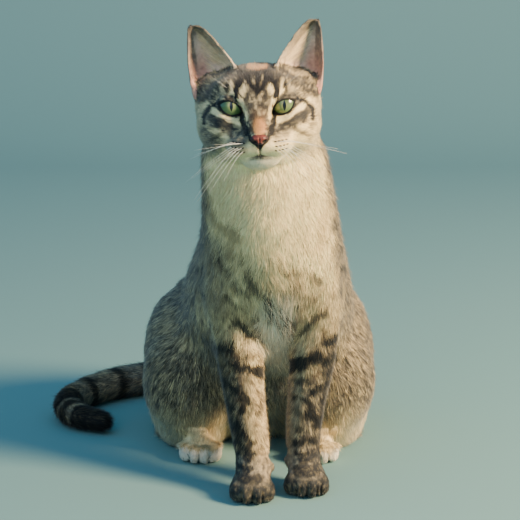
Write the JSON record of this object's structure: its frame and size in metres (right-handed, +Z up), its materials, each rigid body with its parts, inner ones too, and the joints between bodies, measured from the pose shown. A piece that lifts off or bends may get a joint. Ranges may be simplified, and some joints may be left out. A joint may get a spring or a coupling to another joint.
{
  "type": "cat",
  "caption": "Still life-size model of a grey-brown tabby domestic cat sitting upright with its tail curled round on the floor.",
  "frame": {"origin": "on the floor, on the flat that the middle of the rump sits on", "axes": "+Z up, -Y the way the cat faces, +X towards the cat's own left"},
  "size_m": [0.2904, 0.3452, 0.3797],
  "materials": {
    "ticked_coat": "short ticked grey-brown tabby fur",
    "pale_coat": "soft cream fur",
    "dark_coat": "dark banded fur",
    "ear_skin": "thin skin under fine hair",
    "nose_leather": "pebbled, slightly moist",
    "eye": "clear wet gloss over a green iris"
  },
  "bodies": {
    "root": {"trunk": "ticked_coat", "neck": "pale_coat", "head": "ticked_coat", "nose": "nose_leather", "ear_left": "ear_skin", "ear_right": "ear_skin", "eye_left": "eye", "eye_right": "eye", "upper_arm_left": "ticked_coat", "forearm_left": "ticked_coat", "forepaw_left": "dark_coat", "thigh_left": "ticked_coat", "hind_foot_left": "pale_coat", "upper_arm_right": "ticked_coat", "forearm_right": "ticked_coat", "forepaw_right": "dark_coat", "thigh_right": "ticked_coat", "hind_foot_right": "pale_coat", "tail_1": "dark_coat", "tail_2": "dark_coat", "tail_3": "dark_coat", "tail_4": "dark_coat"}
  },
  "joints": []
}
